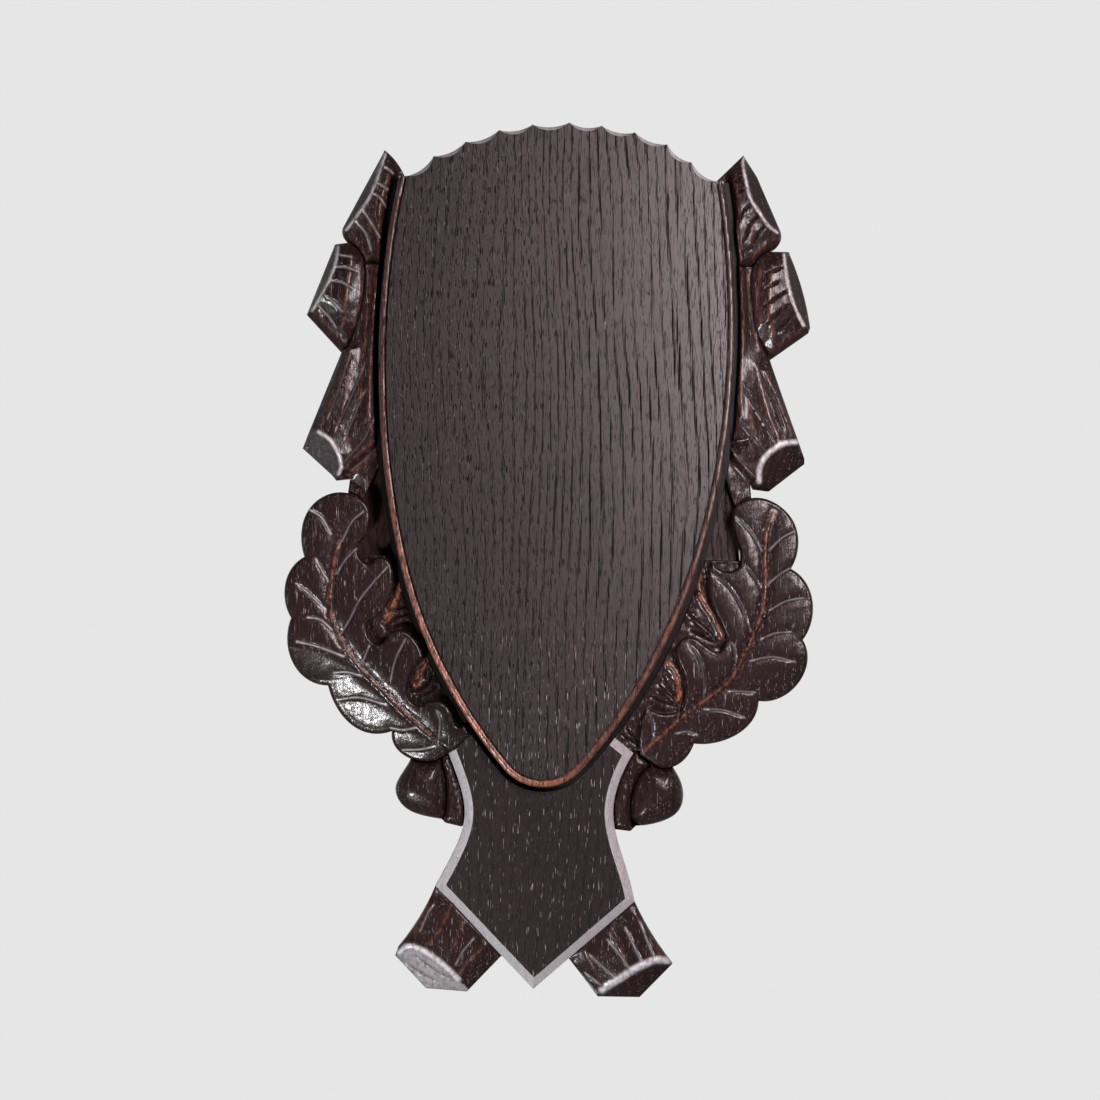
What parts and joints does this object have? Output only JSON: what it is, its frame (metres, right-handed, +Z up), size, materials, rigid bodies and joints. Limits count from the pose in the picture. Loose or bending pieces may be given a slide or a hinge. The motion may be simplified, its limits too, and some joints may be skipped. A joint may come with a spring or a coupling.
{
  "type": "carved trophy shield",
  "caption": "Wall-hung carved oak trophy shield with a scalloped, beaded panel between sawn branches, oak leaves and acorns.",
  "frame": {"origin": "centre of the hanger's keyhole entry on the back plane", "axes": "+Z up as it hangs, +Y out of the back towards the wall, carved front towards -Y, +X to the viewer's right"},
  "size_m": [0.3022, 0.034, 0.499],
  "materials": {
    "board_oak": "dark stained oak, satin varnish",
    "panel_oak": "dark stained oak, gloss varnish",
    "carved_oak": "dark stained carved oak, gloss varnish",
    "zinc_steel": "zinc-plated steel, slightly dulled"
  },
  "bodies": {
    "root": {"back_board_left": "board_oak", "back_board_centre": "board_oak", "back_board_right": "board_oak", "panel_main_stave": "panel_oak", "panel_right_stave": "panel_oak", "tail_board": "panel_oak", "left_upper_stub": "carved_oak", "left_middle_stub": "carved_oak", "left_trunk": "carved_oak", "left_oak_leaf": "carved_oak", "left_under_leaf": "carved_oak", "left_acorn": "carved_oak", "left_twig": "carved_oak", "left_foot_stub": "carved_oak", "right_upper_stub": "carved_oak", "right_middle_stub": "carved_oak", "right_trunk": "carved_oak", "right_oak_leaf": "carved_oak", "right_under_leaf": "carved_oak", "right_acorn": "carved_oak", "right_twig": "carved_oak", "right_foot_stub": "carved_oak", "hanger_plate": "zinc_steel", "hanger_screws": "zinc_steel", "panel_screws": "zinc_steel"}
  },
  "joints": []
}
